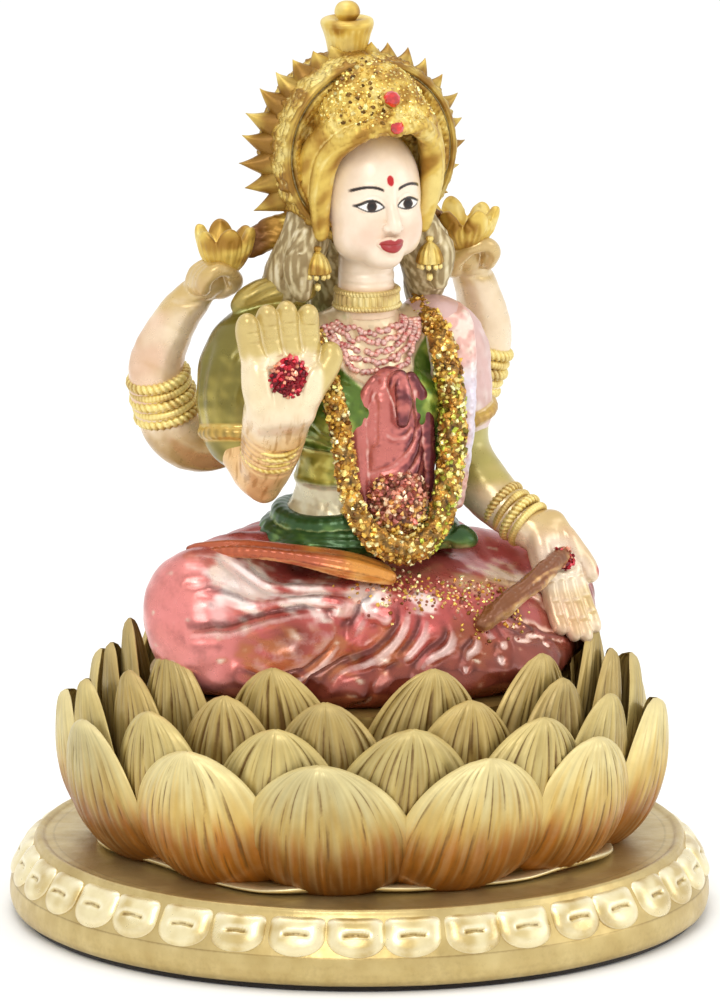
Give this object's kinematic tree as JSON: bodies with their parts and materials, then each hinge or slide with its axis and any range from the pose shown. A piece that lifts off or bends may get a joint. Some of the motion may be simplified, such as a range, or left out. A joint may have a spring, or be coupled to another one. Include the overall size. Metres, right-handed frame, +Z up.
{
  "type": "seated deity figurine",
  "caption": "Seated four-armed figure on an open lotus with overlapping petals, on a round tiled plinth; a small ornament that stands on a flat surface.",
  "frame": {"origin": "centre of the felt underside, on the surface that the statuette stands on", "axes": "+Z up along the figure's height; the figure faces -Y, so its own left hand is on +X"},
  "size_m": [0.1136, 0.1136, 0.148],
  "materials": {
    "felt": "matte dark felt",
    "base_gold": "satin pale gold plating on cast resin",
    "tile_gold": "satin cream gold plating with darker slots",
    "leaf_gold": "satin old gold plating",
    "petal_cream": "pearl cream gold with golden brown shading at the root",
    "petal_olive": "pearl olive gold with paler edges",
    "core_gold": "satin old gold, mostly hidden",
    "skirt_red": "metallic pink-red paint with pearl highlights",
    "sash_gold": "brown-gold paint with gold glitter",
    "hem_gold": "gold paint over fine ribs",
    "waist_green": "metallic olive green paint",
    "blouse_green": "olive gold paint at the waist and green blouse above",
    "drape_rose": "dark rose paint on folded cloth",
    "drape_pink": "cream pink pearl paint with a green edge",
    "sleeve_green": "metallic olive green paint",
    "skin_pearl": "pearl cream-gold skin paint",
    "face_paint": "satin cream paint with drawn eyes, brows and lips",
    "hair_grey_gold": "greyish gold paint in combed strands",
    "crown_gold": "bright yellow gold plating with glitter grains",
    "halo_gold": "bright yellow gold plating",
    "gem_red": "faceted red stone",
    "garland_gold": "gold glitter grains with dark gaps",
    "bead_coral": "coral pink pearl beads",
    "bud_gold": "yellow gold plating",
    "bangle_gold": "bright gold plating",
    "earring_gold": "dark old gold plating",
    "medallion_red": "red enamel grains",
    "screw_steel": "zinc plated",
    "insert_brass": "turned",
    "pin_steel": "plain"
  },
  "bodies": {
    "root": {"felt_pad": "felt", "plinth": "base_gold", "leaf_tiles": "tile_gold", "centre_screw": "screw_steel", "screw_washer": "screw_steel", "threaded_insert": "insert_brass", "lotus_foot_leaf": "leaf_gold", "lotus_core": "core_gold", "petal_ring_outer": "petal_cream", "petal_ring_second": "petal_cream", "petal_ring_third": "petal_olive", "petal_ring_inner": "petal_olive", "waist_dowel": "pin_steel", "neck_dowel": "pin_steel", "front_shoulder_pins": "pin_steel", "rear_shoulder_pins": "pin_steel", "halo_pin": "pin_steel", "legs": "skirt_red", "torso": "blouse_green", "head": "face_paint", "crown": "crown_gold", "hair": "hair_grey_gold", "halo": "halo_gold", "finial": "halo_gold", "crown_gem_upper": "gem_red", "crown_gem_lower": "gem_red", "earring_right": "earring_gold", "earring_left": "earring_gold", "neck_choker": "bangle_gold", "waist_sash": "waist_green", "sleeve_right": "sleeve_green", "sleeve_left": "drape_pink", "chest_drape": "drape_rose", "shoulder_drape": "drape_pink", "necklace": "bead_coral", "garland": "garland_gold", "pendant": "garland_gold", "skirt_sash": "sash_gold", "skirt_hem": "hem_gold", "front_arm_right": "skin_pearl", "front_arm_left": "skin_pearl", "rear_arm_right": "skin_pearl", "rear_arm_left": "skin_pearl", "lotus_bud_right": "bud_gold", "lotus_bud_left": "bud_gold", "bud_strut_right": "bud_gold", "bud_strut_left": "bud_gold", "palm_medallion_right": "medallion_red", "palm_medallion_left": "medallion_red", "bangles_front_right": "bangle_gold", "bangles_front_left": "bangle_gold", "bangles_rear_right": "bangle_gold", "bangles_rear_left": "bangle_gold"}
  },
  "joints": []
}
